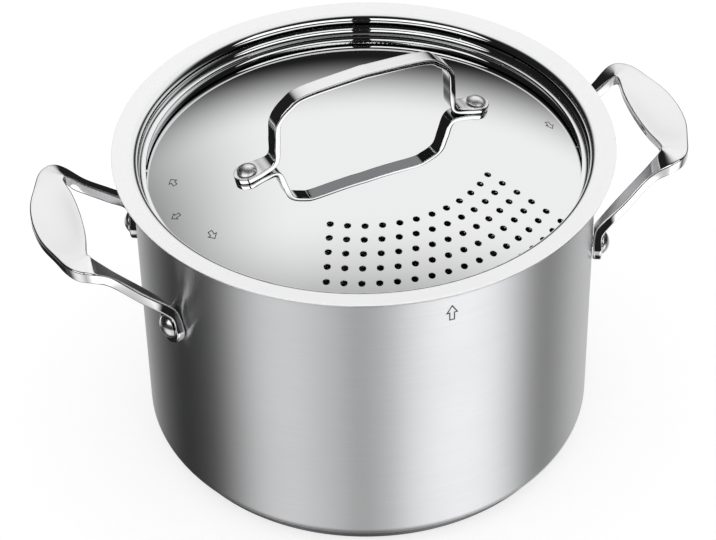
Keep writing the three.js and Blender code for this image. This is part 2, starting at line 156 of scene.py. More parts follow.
class Graph:
    """The node tree of a material or of the world."""

    def __init__(self, tree: NodeTree) -> None:
        """Empties a tree and takes it over."""
        self.tree = tree
        tree.nodes.clear()

    def node(
        self, kind: str, settings: dict | None = None, inputs: dict | None = None
    ) -> Node:
        """Adds a node.

        Args:
            kind: the node's type.
            settings: its own settings, set before its sockets.
            inputs: values or links by socket name or number.

        Returns:
            The node.
        """
        node = self.tree.nodes.new(kind)
        for key, value in (settings or {}).items():
            setattr(node, key, value)
        for key, value in (inputs or {}).items():
            if isinstance(value, Shade):
                value = value.socket
            if isinstance(value, NodeSocket):
                self.tree.links.new(value, node.inputs[key])
            else:
                node.inputs[key].default_value = value
        return node

    def shade(
        self, kind: str, settings: dict | None = None, inputs: dict | None = None
    ) -> Shade:
        """Adds a node and wraps its first output."""
        return Shade(self, self.node(kind, settings, inputs).outputs[0])

    def parts(self, kind: str, output: str) -> tuple[Shade, ...]:
        """The three parts of a vector that a new node of a kind gives out."""
        vector = {0: self.node(kind).outputs[output]}
        return tuple(Shade(self, part) for part in
                     self.node("ShaderNodeSeparateXYZ", inputs=vector).outputs)

    def rays(self, *kinds: str) -> list[Shade]:
        """Whether a ray is of each of these kinds, as 0 or 1."""
        paths = self.node("ShaderNodeLightPath")
        return [Shade(self, paths.outputs[kind]) for kind in kinds]

    def tint(self, factor: Shade, first: Colour, second: Colour) -> NodeSocket:
        """Blends from one colour at 0 to another at 1."""
        inputs = {"Factor": factor, 6: (*first, 1.0), 7: (*second, 1.0)}
        return self.node("ShaderNodeMix", {"data_type": "RGBA"}, inputs).outputs[2]

    def grain(self, grain: Grain) -> Shade:
        """Adds noise.

        Args:
            grain: its size and its stretch.

        Returns:
            The noise, about 0.5.
        """
        place = self.node("ShaderNodeTexCoord").outputs["Object"]
        inputs = {"Vector": place, "Scale": grain.stretch}
        drawn = self.node("ShaderNodeMapping", inputs=inputs).outputs[0]
        inputs = {"Vector": drawn, "Scale": grain.scale, "Detail": grain.detail}
        return self.shade("ShaderNodeTexNoise", inputs=inputs)

    def end(self, kind: str, shader: Node) -> None:
        """Ends the tree in an output node that a shader node feeds."""
        self.node(kind, inputs={0: shader.outputs[0]})

    def surface(
        self, looks: dict, height: Shade | None = None, relief: Relief | None = None
    ) -> None:
        """Ends a material's tree in its shader.

        Args:
            looks: the shader's sockets.
            height: what its relief follows.
            relief: how deep the relief looks, if there is one.
        """
        if relief:
            inputs = {"Strength": relief.strength, "Distance": relief.depth,
                      "Height": height}
            looks["Normal"] = self.node("ShaderNodeBump", inputs=inputs).outputs[0]
        shader = self.node("ShaderNodeBsdfPrincipled", inputs=looks)
        self.end("ShaderNodeOutputMaterial", shader)


def new_material(name: str) -> tuple[Material, Graph]:
    """Makes a material and its empty graph.

    Args:
        name: the material's name.

    Returns:
        The material and its graph.
    """
    material = bpy.data.materials.new(name)
    material.use_nodes = True
    return material, Graph(material.node_tree)


# --- Finishes ---


@dataclass(frozen=True)
class BrushedSteel:
    """Sheet steel brushed round the pot's axis, so that it smears light upright."""

    name: str = "sheet_finish"
    colour: Colour = (0.78, 0.785, 0.795)
    worn: Colour = (0.74, 0.745, 0.755)
    wear: Pair = (0.35, 0.75)
    roughness: float = 0.32
    swing: float = 0.03
    anisotropy: float = 0.88
    smear_turn: float = 0.25
    lines: Grain = Grain(40.0, 4.0, (1.0, 1.0, 70.0))
    clouds: Grain = Grain(14.0, 3.0)
    cloud_share: float = 0.3
    relief: Relief = Relief(0.025)

    def dress(self, graph: Graph) -> None:
        """Brush lines in the roughness and the relief, and faint cloudy wear.

        Args:
            graph: the material's graph.
        """
        lines, clouds = graph.grain(self.lines), graph.grain(self.clouds)
        worn = lines * (1 - self.cloud_share) + clouds * self.cloud_share
        graph.surface({
            "Base Color": graph.tint(worn.step(*self.wear), self.colour, self.worn),
            "Metallic": 1.0,
            "Roughness": self.roughness + lines.swing(self.swing)
            + clouds.swing(self.swing),
            "Anisotropic": self.anisotropy,
            "Anisotropic Rotation": self.smear_turn,
        }, lines, self.relief)


@dataclass(frozen=True)
class LidSteel:
    """Mirror-polished sheet with a satin flange round it; the flange's near-white, nearly
    non-metal colour is painted sheen.
    """

    name: str = "lid_finish"
    colour: Colour = (0.757, 0.76, 0.766)
    roughness: float = 0.012
    smear: float = 0.01
    smears: Grain = Grain(22.0, 5.0)
    smear_edge: Pair = (0.4, 0.75)
    # painted sheen: the satin flange gets a near-white colour and little metal, so that it
    # looks as bright as the light it would reflect
    flange_sheen_colour: Colour = (0.97, 0.971, 0.973)
    flange_metal: float = 0.12
    flange_roughness: float = 0.45
    flange_swing: float = 0.1
    flange_edge: Pair = (0.1108, 0.1112)
    flange_shift: float = 0.0006
    ring_scale: float = 2600.0
    ring_detail: float = 2.0
    relief: Relief = Relief(0.05, 0.0001)

    def dress(self, graph: Graph) -> None:
        """A bright dome with faint wiping marks, satin from the flange's bend outward, where
        a near-white colour paints the flange's sheen.

        Args:
            graph: the material's graph.
        """
        x, y, _ = graph.parts("ShaderNodeTexCoord", "Object")
        radius = (x * x + y * y) ** 0.5
        # satin marks both the flange's real satin and where its painted sheen colour goes;
        # its centre lies a little off the axis
        back = y - self.flange_shift
        satin = ((x * x + back * back) ** 0.5).step(*self.flange_edge)
        smears = graph.grain(self.smears).step(*self.smear_edge)
        rings = graph.shade(
            "ShaderNodeTexNoise", {"noise_dimensions": "1D"},
            {"W": radius, "Scale": self.ring_scale, "Detail": self.ring_detail})
        polished = self.roughness + smears * self.smear
        dull = self.flange_roughness + rings.swing(self.flange_swing)
        graph.surface({
            "Base Color": graph.tint(satin, self.colour, self.flange_sheen_colour),
            "Metallic": 1 - satin * (1 - self.flange_metal),
            "Roughness": polished * (1 - satin) + dull * satin,
        }, rings * satin, self.relief)


@dataclass(frozen=True)
class CastSteel:
    """Polished castings, satin where they face up, their colour darkened by painted shade
    where they face down.
    """

    name: str = "casting_finish"
    colour: Colour = (0.84, 0.84, 0.845)
    # painted shade: faces that point down take this dark colour in place of the shade they
    # would reflect
    underside_shade_colour: Colour = (0.32, 0.32, 0.325)
    roughness: float = 0.04
    top_roughness: float = 0.30
    swing: float = 0.05
    level_edge: Pair = (0.86, 0.97)
    grain: Grain = Grain(2000.0, 3.0)
    waves: Grain = Grain(60.0, 2.0)
    grain_share: float = 0.2
    relief: Relief = Relief(0.03)

    def dress(self, graph: Graph) -> None:
        """Polished flanks with a soft waviness, fine grain on the tops, and painted shade
        underneath.

        Args:
            graph: the material's graph.
        """
        _, _, up = graph.parts("ShaderNodeNewGeometry", "Normal")
        top, under = up.step(*self.level_edge), (0 - up).step(*self.level_edge)
        grain, waves = graph.grain(self.grain), graph.grain(self.waves)
        rough = self.roughness + (self.top_roughness - self.roughness) * top
        height = grain * top * self.grain_share + waves * (1 - self.grain_share)
        graph.surface({
            # painted shade: the base colour darkens on faces that point down
            "Base Color": graph.tint(under, self.colour, self.underside_shade_colour),
            "Metallic": 1.0,
            "Roughness": rough + grain.swing(self.swing),
        }, height, self.relief)


@dataclass(frozen=True)
class PlainMetal:
    """An even metal with a fine grain in its colour, its roughness and its relief."""

    name: str
    colour: Colour
    roughness: float
    swing: float = 0.06
    metallic: float = 1.0
    grain: Grain = Grain(1800.0, 4.0)
    patch_colour: Colour | None = None
    patch_shade: float = 0.9
    patch_edge: Pair = (0.35, 0.8)
    relief: Relief | None = Relief(0.02)

    def dress(self, graph: Graph) -> None:
        """Patches of a second colour, by default a shade darker, in the grain.

        Args:
            graph: the material's graph.
        """
        grain = graph.grain(self.grain)
        shade = tuple(self.patch_shade * part for part in self.colour)
        graph.surface({
            "Base Color": graph.tint(grain.step(*self.patch_edge), self.colour,
                                     self.patch_colour or shade),
            "Metallic": self.metallic,
            "Roughness": self.roughness + grain.swing(self.swing),
        }, grain, self.relief)


class Finish(Enum):
    """The finishes, each made once."""

    BRUSHED = BrushedSteel()
    # painted shade: the cap's steel is far darker than the shell's, standing in for the shade
    # of the table under the pot that its rim reflects
    BASE = BrushedSteel("shaded_base_finish", (0.17, 0.17, 0.175), (0.14, 0.14, 0.145))
    LID = LidSteel()
    CAST = CastSteel()
    RIVET = PlainMetal("rivet_finish", (0.80, 0.80, 0.81), 0.20)
    LID_RIVET = PlainMetal("satin_rivet_finish", (0.88, 0.88, 0.89), 0.36)
    INNER = PlainMetal("inner_finish", (0.76, 0.765, 0.775), 0.3)
    DISC = PlainMetal("disc_finish", (0.70, 0.71, 0.72), 0.42)
    MARK = PlainMetal(
        "mark_finish", (0.03, 0.03, 0.032), 0.5, 0.3, 0.2, Grain(1500.0, 3.0),
        patch_colour=(0.09, 0.09, 0.093), patch_edge=(0.35, 0.7), relief=None)

    def material(self) -> Material:
        """The finish's one material, made on first use.

        Returns:
            The material.
        """
        material = bpy.data.materials.get(self.value.name)
        if not material:
            material, graph = new_material(self.value.name)
            self.value.dress(graph)
        return material


# --- Mesh making ---


def polar(radius: float, angle: float, height: float = 0.0) -> Vector:
    """The point at a radius, an angle and a height."""
    return Vector((radius * cos(angle), radius * sin(angle), height))


def turned(angle: float) -> Matrix:
    """A turn about the pot's axis."""
    return Matrix.Rotation(angle, 4, "Z")


def around(count: int) -> list[float]:
    """Even angles, once round."""
    return [FULL_TURN * k / count for k in range(count)]


def arc(centre: Pair, radius: float, start: float, end: float, steps: int) -> Profile:
    """Points on an arc in the half plane of radius and height.

    Args:
        centre: the arc's centre.
        radius: its radius.
        start: the angle of its first point.
        end: the angle of its last point.
        steps: how many steps it has.

    Returns:
        The points, both ends included.
    """
    turns = (start + (end - start) * i / steps for i in range(steps + 1))
    return [(centre[0] + radius * cos(a), centre[1] + radius * sin(a)) for a in turns]


class Draft:
    """Points and faces in millimetres, gathered before they become one object."""

    weld: ClassVar[float] = 1e-4
    crease: ClassVar[float] = radians(35)

    def __init__(self) -> None:
        """Starts empty."""
        self.points: list[tuple[float, ...]] = []
        self.faces: list[tuple[int, ...]] = []
        self._known: dict[tuple[int, ...], int] = {}

    def point(self, *spot: float) -> int:
        """Adds a point, or finds the one already there.

        Args:
            spot: its place along X, Y and Z.

        Returns:
            The point's number.
        """
        key = tuple(round(v / self.weld) for v in spot)
        if key not in self._known:
            self._known[key] = len(self.points)
            self.points.append(spot)
        return self._known[key]

    def face(self, *corners: int) -> None:
        """Adds a face, leaving out corners that fall together.

        Args:
            corners: the points' numbers, once round.
        """
        ring = [c for i, c in enumerate(corners) if c != corners[i - 1]]
        if len(set(ring)) > 2:
            self.faces.append(tuple(ring))

    def join(self, rings: Sequence[Sequence[int]]) -> None:
        """Joins each ring of points to the next with faces.

        Args:
            rings: the rings, all of as many points.
        """
        for first, second in zip(rings, rings[1:]):
            for i in range(len(first)):
                j = (i + 1) % len(first)
                self.face(first[i], first[j], second[j], second[i])

    def lathe(self, profile: Profile, sides: int) -> list[list[int]]:
        """Turns a profile about Z.

        Args:
            profile: points of radius and height.
            sides: how many sides the turned body has.

        Returns:
            The rings of points, one for each profile point.
        """
        rings = [
            [self.point(r * cos(a), r * sin(a), z) for a in around(sides)]
            for r, z in profile
        ]
        self.join(rings)
        return rings

    def loft(self, sections: Sequence[Sequence[Vector]]) -> None:
        """Joins closed sections into a bar with both ends shut.

        Args:
            sections: rows of points, all of one length.
        """
        rows = [[self.point(*p) for p in section] for section in sections]
        self.join(rows)
        self.face(*rows[0])
        self.face(*reversed(rows[-1]))

    def commit(
        self, name: str, finish: Finish, body: Body, slot: str, *nodes: str,
        place: Matrix | None = None, curve: Curve | None = None,
    ) -> None:
        """Makes the object, in metres, and puts it on its body and for its nodes.

        Args:
            name: the object's name.
            finish: what it is made of.
            body: the body that it moves with.
            slot: the record's material slot; not used.
            nodes: the frame's nodes that it stands for.
            place: where the draft goes in the frame, in millimetres.
            curve: gives the exact normal at a point of a curved face, or nothing.
        """
        place = place or Matrix.Identity(4)
        mesh = bpy.data.meshes.new(name)
        mesh.from_pydata([place @ Vector(p) * METRES for p in self.points], [], self.faces)
        work = bmesh.new()
        work.from_mesh(mesh)
        bmesh.ops.recalc_face_normals(work, faces=work.faces)
        work.to_mesh(mesh)
        work.free()
        mesh.shade_smooth()
        mesh.set_sharp_from_angle(angle=self.crease)
        if curve:
            self._set_normals(mesh, curve)
        mesh.materials.append(finish.material())
        piece = bpy.data.objects.new(name, mesh)
        bpy.context.scene.collection.objects.link(piece)
        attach(piece, body.value)
        if nodes:
            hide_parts(*nodes)
        log.info("%s: %d faces on %s", piece.name, len(piece.data.polygons), body.value)

    @staticmethod
    def _set_normals(mesh: Mesh, curve: Curve) -> None:
        """Gives faces that lie on a known curve its exact normals.

        Args:
            mesh: the mesh, in metres.
            curve: gives the outward normal at a point in millimetres, or nothing.
        """
        exact = [curve(v.co / METRES) for v in mesh.vertices]
        normals = [Vector((0.0, 0.0, 0.0))] * len(mesh.loops)
        for face in mesh.polygons:
            found = [exact[v] for v in face.vertices]
            if any(n is None for n in found):
                continue
            sign = 1.0 if face.normal.dot(found[0]) > 0 else -1.0
            for loop, normal in zip(face.loop_indices, found):
                normals[loop] = normal * sign
        mesh.normals_split_custom_set(normals)


# --- Lofted bars ---


@dataclass
class Station:
    """One section of a bar.

    The frame's bars have twelve flat sides, so their widest points lie a little inside
    the full width. The share called snug brings a smooth section as far in.
    """

    centre: Vector
    across: Vector
    normal: Vector
    width: float
    thickness: float
    dish: float = 0.0
    snug: ClassVar[float] = 0.984
    most_bend: ClassVar[float] = 0.98

    def section(self, corner: float, flats: int = 8, bends: int = 6) -> list[Vector]:
        """The points of a rounded rectangle, hollowed on the side against the normal.

        Args:
            corner: the radius of its corners.
            flats: how many steps each long side has.
            bends: how many steps each corner has.

        Returns:
            The points, once round.
        """
        half_w, half_t = self.width / 2 * self.snug, self.thickness / 2 * self.snug
        bend = min(corner, half_w * self.most_bend, half_t * self.most_bend)
        flat_w, flat_t = half_w - bend, half_t - bend
        outline = []
        for k, (sx, sy) in enumerate(((1, 1), (-1, 1), (-1, -1), (1, -1))):
            turn = k * QUARTER_TURN
            outline += arc((sx * flat_w, sy * flat_t), bend, turn, turn + QUARTER_TURN, bends)
            if sx == sy:
                outline += [(sx * flat_w * (1 - 2 * i / flats), sy * half_t)
                            for i in range(1, flats)]
        points = []
        for x, y in outline:
            hollow = self.dish * (1 - (x / half_w) ** 2) if y < 0 else 0.0
            points.append(self.centre + self.across * x + self.normal * (y + hollow))
        return points

    def mirrored(self, axis: int) -> "Station":
        """The same section on the other side of the plane axis = 0."""
        flip = Vector([-1.0 if i == axis else 1.0 for i in range(3)])
        return replace(self, centre=self.centre * flip, across=self.across * flip,
                       normal=self.normal * flip)


def catmull(keys: Sequence[Vector], t: float) -> Vector:
    """A point on the smooth curve through evenly timed keys.

    Args:
        keys: the points that it passes through.
        t: the way along it, from 0 to 1.

    Returns:
        The point.
    """
    last = len(keys) - 1
    i = min(int(t * last), last - 1)
    w = t * last - i
    before = keys[i - 1] if i else keys[0] * 2 - keys[1]
    after = keys[i + 2] if i + 2 <= last else keys[last] * 2 - keys[last - 1]
    here, there = keys[i], keys[i + 1]
    leave, arrive = (there - before) * 0.5, (after - here) * 0.5
    return (
        here + leave * w + (here * -3 + there * 3 - leave * 2 - arrive) * w ** 2
        + (here * 2 - there * 2 + leave + arrive) * w ** 3
    )


def smooth_stations(keys: Sequence[Station], per_span: int) -> list[Station]:
    """Sections between a few given ones, on smooth curves through them.

    Args:
        keys: the given sections.
        per_span: how many steps there are from one to the next.

    Returns:
        The sections.
    """
    count = (len(keys) - 1) * per_span
    sizes = [Vector((k.width, k.thickness, k.dish)) for k in keys]
    stations = []
    for t in (i / count for i in range(count + 1)):
        across = catmull([k.across for k in keys], t).normalized()
        normal = catmull([k.normal for k in keys], t)
        normal = (normal - across * normal.dot(across)).normalized()
        size = catmull(sizes, t)
        centre = catmull([k.centre for k in keys], t)
        stations.append(Station(centre, across, normal, size.x, size.y, max(size.z, 0.0)))
    return stations


TIP_TURN = radians(87)
TIP_STEPS = 12


def whole_bar(half: list[Station], along: Vector, tip: float, axis: int) -> list[Station]:
    """A bar with rounded ends from one half of it.

    Args:
        half: the sections from one end to the middle.
        along: the direction from the end's tip inward.
        tip: how far the tip lies before the first section. The width falls away
            towards it like a half circle.
        axis: the axis that the other half is mirrored along.

    Returns:
        The sections from tip to tip.
    """
    turns = [TIP_TURN * (1 - i / TIP_STEPS) for i in range(TIP_STEPS)]
    ends = [replace(half[0], centre=half[0].centre - along * tip * sin(a),
                    width=half[0].width * cos(a)) for a in turns]
    near = ends + half
    return near + [s.mirrored(axis) for s in reversed(near[:-1])]


# --- The pot ---

AROUND = 288
LIP_TILT = radians(10.7)
BEND_TURN = QUARTER_TURN + LIP_TILT


def bend_centre(radius: float, straight: float, line: Callable[[float], float]) -> Pair:
    """The centre of a bend from upright into the lip's tilt.

    Args:
        radius: the bend's radius.
        straight: the radius of the upright face where it starts.
        line: the height of the sloping face at a radius.

    Returns:
        The centre's radius and height.
    """
    r = straight + radius
    return r, line(r + radius * cos(BEND_TURN)) - radius * sin(BEND_TURN)


@dataclass
class PotBody:
    """The drawn shell, the cap under it and the heat disc between them."""

    inside: float = 110.0
    wall: float = 0.9
    height: float = 159.6
    lip_width: float = 8.5
    lip_bend: float = 3.2
    lip_steps: int = 10
    corner: float = 8.0
    corner_steps: int = 16
    seat: float = 0.3
    cap_inset: float = 6.1
    cap_sheet: float = 0.6
    cap_corner: float = 1.4
    cap_round: float = 0.25
    cap_steps: tuple[int, int, int] = (10, 5, 6)
    core: float = 3.4
    core_round: float = 0.3
    core_steps: int = 4
    rim_gap: float = 0.7

    @property
    def outside(self) -> float:
        """Radius of the wall's outside."""
        return self.inside + self.wall

    @property
    def lip_radius(self) -> float:
        """Radius of the lip's edge."""
        return self.outside + self.lip_width

    @property
    def floor(self) -> float:
        """Height of the shell's underside."""
        return self.cap_sheet + self.seat + self.core + self.seat

    def lip_top(self, r: float) -> float:
        """Height of the lip's top at a radius."""
        return self.height - (self.lip_radius - r) * tan(LIP_TILT)

    def shell_profile(self) -> Profile:
        """The shell's section.

        Returns:
            Its points, from the underside out, up and back down inside.
        """
        low = (self.outside - self.corner, self.floor + self.corner)
        bend = bend_centre(self.lip_bend, self.inside, self.lip_top)
        edge_r = self.lip_radius - self.wall / 2
        edge = edge_r, self.lip_top(edge_r) - self.wall / 2 / cos(LIP_TILT)
        steps = self.lip_steps
        return [
            (0.0, self.floor),
            *arc(low, self.corner, -QUARTER_TURN, 0.0, self.corner_steps),
            *arc(bend, self.lip_bend - self.wall, pi, BEND_TURN, steps),
            *arc(edge, self.wall / 2, LIP_TILT - QUARTER_TURN, BEND_TURN, steps),
            *arc(bend, self.lip_bend, BEND_TURN, pi, steps),
            *arc(low, self.corner - self.wall, 0.0, -QUARTER_TURN, self.corner_steps),
            (0.0, self.floor + self.wall),
        ]

    def build(self) -> None:
        """Makes and dresses the three pieces."""
        shell, cap, disc = Draft(), Draft(), Draft()
        shell.lathe(self.shell_profile(), AROUND)
        shell.commit("shell", Finish.BRUSHED, Body.POT, "satin_steel", "pot_shell")

        rim = self.outside - self.cap_inset
        low = rim - self.cap_corner, self.cap_corner
        top = self.floor - self.rim_gap
        high = rim - self.cap_round, top - self.cap_round
        outer, edge, inner = self.cap_steps
        cap.lathe([
            (0.0, 0.0),
            *arc(low, self.cap_corner, -QUARTER_TURN, 0.0, outer),
            *arc(high, self.cap_round, 0.0, QUARTER_TURN, edge),
            (rim - self.cap_sheet, top),
            *arc(low, self.cap_corner - self.cap_sheet, 0.0, -QUARTER_TURN, inner),
            (0.0, self.cap_sheet),
        ], AROUND)
        # the cap wears the darkened steel, painted shade of the table beneath
        cap.commit("cap", Finish.BASE, Body.POT, "satin_steel", "base_cap")

        under = self.cap_sheet + self.seat
        disc_r = rim - self.cap_sheet - self.seat
        high = disc_r - self.core_round, under + self.core - self.core_round
        disc.lathe([
            (0.0, under),
            (disc_r - self.cap_corner / 2, under),
            (disc_r, under + self.cap_corner / 2),
            *arc(high, self.core_round, 0.0, QUARTER_TURN, self.core_steps),
            (0.0, under + self.core),
        ], AROUND // 2)
        disc.commit("heat_disc", Finish.DISC, Body.POT, "core_aluminium", "base_core")


# --- Rivets ---


@dataclass(frozen=True)
class Rivet:
    """A solid rivet along +Z, its head on z = grip and its tail under z = 0."""

    shank: float
    head: float
    head_height: float
    tail: float
    tail_height: float
    edge: float = 0.5
    rounding: float = 0.2
    steps: tuple[int, int, int] = (8, 3, 14)
    sides: int = 48

    def draft(self, grip: float) -> Draft:
        """The turned rivet.

        Args:
            grip: the length between its head and its tail.

        Returns:
            The draft.
        """
        head_r, tail_r = self.head / 2, self.tail / 2
        cap = self.head_height - self.edge
        ball = (head_r ** 2 + cap ** 2) / (2 * cap)
        rise = QUARTER_TURN - asin(head_r / ball)
        tail, edge, dome = self.steps
        draft = Draft()
        draft.lathe([
            (0.0, -self.tail_height),
            *arc((tail_r - self.tail_height, 0.0), self.tail_height, -QUARTER_TURN, 0.0,
                 tail),
            (self.shank / 2, 0.0),
            (self.shank / 2, grip),
            *arc((head_r - self.rounding, grip + self.rounding), self.rounding,
                 -QUARTER_TURN, 0.0, edge),
            *arc((0.0, grip + self.head_height - ball), ball, rise, QUARTER_TURN, dome),
        ], self.sides)
        return draft


# --- The side handles ---


@dataclass
class SideHandles:
    """Two cast loops, each riveted to the wall by two feet."""

    pot: PotBody
    rivet: Rivet = Rivet(5.4, 11.4, 3.3, 10.0, 1.6)
    rivet_drop: float = 53.2
    rivet_spacing: float = 80.0
    head_gap: float = 0.3
    tail_gap: float = 0.5
    foot_width: float = 16.6
    foot_thickness: float = 4.3
    foot_drop: float = 9.2
    foot_rise: float = 6.0
    arm_width: float = 7.2
    arm_thickness: float = 5.2
    reach: float = 50.0
    rise: float = 40.0
    grip_width: float = 23.6
    grip_thickness: float = 4.8
    grip_dish: float = 0.9
    end_width: float = 14.4
    end_inset: float = 6.5
    turning_width: float = 11.6
    corner_width: float = 13.0
    corner_thickness: float = 6.2
    corner_drop: float = 4.5
    gap_width: float = 64.5
    gap_corner: float = 3.0
    arm_shares: tuple[float, ...] = (0.35, 0.8)
    corner_shares: Pair = (0.16, 0.5)
    grip_shares: tuple[float, ...] = (1.0, 0.6, 0.3, 0.0)
    edge: float = 1.0
    span_steps: int = 9

    @property
    def rivet_height(self) -> float:
        """Height of the rivets."""
        return self.pot.height - self.rivet_drop

    @property
    def rivet_angle(self) -> float:
        """Turn from the handle's middle to a rivet."""
        return asin(self.rivet_spacing / 2 / self.pot.outside)

    @property
    def foot_start(self) -> float:
        """Radius of the feet's backs."""
        return self.pot.outside + self.pot.seat

    @property
    def grip_outside(self) -> float:
        """Distance from the pot's axis to the grip's outer edge."""
        return self.pot.outside + self.reach

    def corner_at(self, share: float, width: float, thickness: float, drop: float) -> Station:
        """A section that turns about the finger gap's corner.

        Args:
            share: the way from the arm, 0, to the grip, 1.
            width: the section's width.
            thickness: its thickness.
            drop: how far it lies under the grip.

        Returns:
            The section.
        """
        spoke = polar(1.0, (share - 1) * QUARTER_TURN)
        gap_x = self.grip_outside - self.end_inset - self.end_width - self.gap_corner
        gap = Vector((gap_x, self.gap_corner - self.gap_width / 2,
                      self.rivet_height + self.rise - drop))
        return Station(gap + spoke * (self.gap_corner + width / 2), -spoke,
                       DOWN, width, thickness)

    def grip_at(self, share: float) -> Station:
        """A section across the grip.

        Args:
            share: the way from the grip's middle, 0, to its end, 1.

        Returns:
            The section.
        """
        width = self.grip_width - (self.grip_width - self.end_width) * share ** 2
        x = self.grip_outside - self.end_inset * share ** 2 - width / 2
        y = (self.gap_corner - self.gap_width / 2) * share
        return Station(Vector((x, y, self.rivet_height + self.rise)), IN,
                       DOWN, width, self.grip_thickness,
                       self.grip_dish * (1 - share ** 2))

    def stations(self) -> list[Station]:
        """The whole loop.

        Returns:
            Its sections, from one foot's end to the other's.
        """
        angle = self.rivet_angle
        out = Vector((cos(angle), -sin(angle), 0.0))
        across = Vector((sin(angle), cos(angle), 0.0))
        bar = self.arm_width, self.arm_thickness

        def on_foot(height: float, away: float) -> Vector:
            """A point over the rivet and away from the foot's middle."""
            flat = out * (self.foot_start + self.foot_thickness / 2 + away)
            return Vector((flat.x, flat.y, self.rivet_height + height))

        foot = Station(on_foot(0, 0), across, out, self.foot_width, self.foot_thickness)
        start = on_foot(self.foot_rise + self.arm_thickness, self.arm_thickness / 2)
        end = self.corner_at(0, *bar, self.corner_drop).centre
        slope = (end - start).normalized()
        under = Vector((slope.z, 0.0, -slope.x))

        def arm(share: float) -> Station:
            """A section at a share of the way up the arm."""
            return Station(start.lerp(end, share), ACROSS, under, *bar)

        turning, turned_at = self.corner_shares
        half = smooth_stations([
            foot,
            replace(foot, centre=on_foot(self.foot_rise, 0),
                    width=(self.foot_width + self.arm_width) / 2),
            replace(arm(0), across=across, normal=(out + under).normalized()),
            *(arm(share) for share in self.arm_shares),
            self.corner_at(turning, self.turning_width, self.corner_thickness,
                           self.corner_drop / 2),
            self.corner_at(turned_at, self.corner_width, self.corner_thickness,
                           (self.corner_thickness - self.grip_thickness) / 2),
            *(self.grip_at(share) for share in self.grip_shares),
        ], self.span_steps)
        return whole_bar(half, UP, self.foot_drop, 1)

    def build(self) -> None:
        """Makes both handles and their four rivets."""

        def seated(p: Vector) -> Vector:
            """Keeps a point off the wall, as the foot's curved back lies on it."""
            r, start = hypot(p.x, p.y), self.foot_start
            return p if r >= start else Vector((p.x * start / r, p.y * start / r, p.z))

        loop = Draft()
        loop.loft([[seated(p) for p in s.section(self.edge)] for s in self.stations()])
        tail_r = sqrt(self.pot.inside ** 2 - (self.rivet.tail / 2) ** 2) - self.tail_gap
        rivet = self.rivet.draft(
            self.foot_start + self.foot_thickness + self.head_gap - tail_r)
        out = Matrix.Translation((tail_r, 0, self.rivet_height))
        lying = Matrix.Rotation(QUARTER_TURN, 4, "Y")
        for side, front in ((Side.RIGHT, -1), (Side.LEFT, 1)):
            name = f"{side.word}_handle"
            loop.commit(f"{side.word}_loop", Finish.CAST, Body.POT, "cast_steel", name,
                        place=turned(side.value))
            for end, sign in (("front", front), ("back", -front)):
                place = turned(side.value + sign * self.rivet_angle) @ out @ lying
                rivet.commit(f"{side.word}_loop_rivet_{end}", Finish.RIVET, Body.POT,
                             "rivet_steel", f"{name}_rivet_{end}", place=place)


# --- The lid ---

LID_TURN = radians(10)


